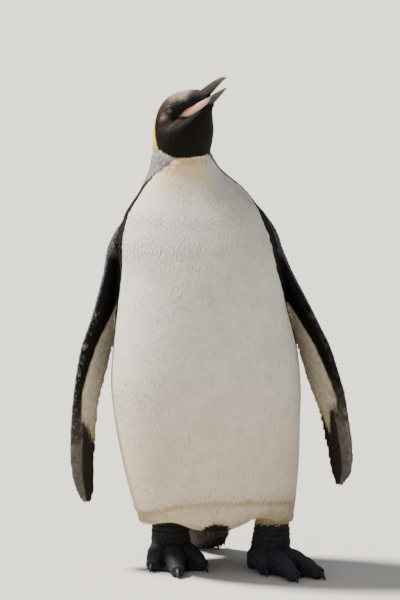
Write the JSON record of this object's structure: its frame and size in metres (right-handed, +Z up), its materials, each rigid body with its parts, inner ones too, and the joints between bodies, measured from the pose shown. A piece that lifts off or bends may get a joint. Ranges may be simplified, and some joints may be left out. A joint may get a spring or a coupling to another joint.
{
  "type": "king penguin",
  "caption": "Life-size still king penguin standing upright on the floor, head turned aside and raised, bill slightly open, flippers held a little away.",
  "frame": {"origin": "on the floor, under the middle of the bird's outline seen from above", "axes": "+Z up; the bird faces -Y, so +X is its own left side"},
  "size_m": [0.4377, 0.2639, 0.7868],
  "materials": {
    "body_plumage": "dense short feathers, creamy white in front and slate grey behind, with a black line between",
    "hood_plumage": "short velvety black-brown feathers with a yellow patch behind each ear",
    "flipper_plumage": "tiny scale-like feathers, dark outside and cream inside, worn at the edges",
    "leg_plumage": "short dark feathers in folds",
    "tail_plumage": "stiff narrow brown-black feathers",
    "foot_skin": "dark grey pebbled scales",
    "bill_horn": "dark satin horn",
    "bill_plate": "smooth pink to orange horn",
    "claw_horn": "black satin horn",
    "eye": "wet, dark grey-brown"
  },
  "bodies": {
    "root": {"trunk": "body_plumage", "neck": "body_plumage", "head": "hood_plumage", "bill_upper": "bill_horn", "bill_lower": "bill_horn", "bill_plate_left": "bill_plate", "bill_plate_right": "bill_plate", "eye_left": "eye", "eye_right": "eye", "flipper_left": "flipper_plumage", "flipper_right": "flipper_plumage", "leg_left": "leg_plumage", "leg_right": "leg_plumage", "foot_left": "foot_skin", "foot_right": "foot_skin", "claw_left_inner": "claw_horn", "claw_left_middle": "claw_horn", "claw_left_outer": "claw_horn", "claw_right_inner": "claw_horn", "claw_right_middle": "claw_horn", "claw_right_outer": "claw_horn", "tail": "tail_plumage"}
  },
  "joints": []
}
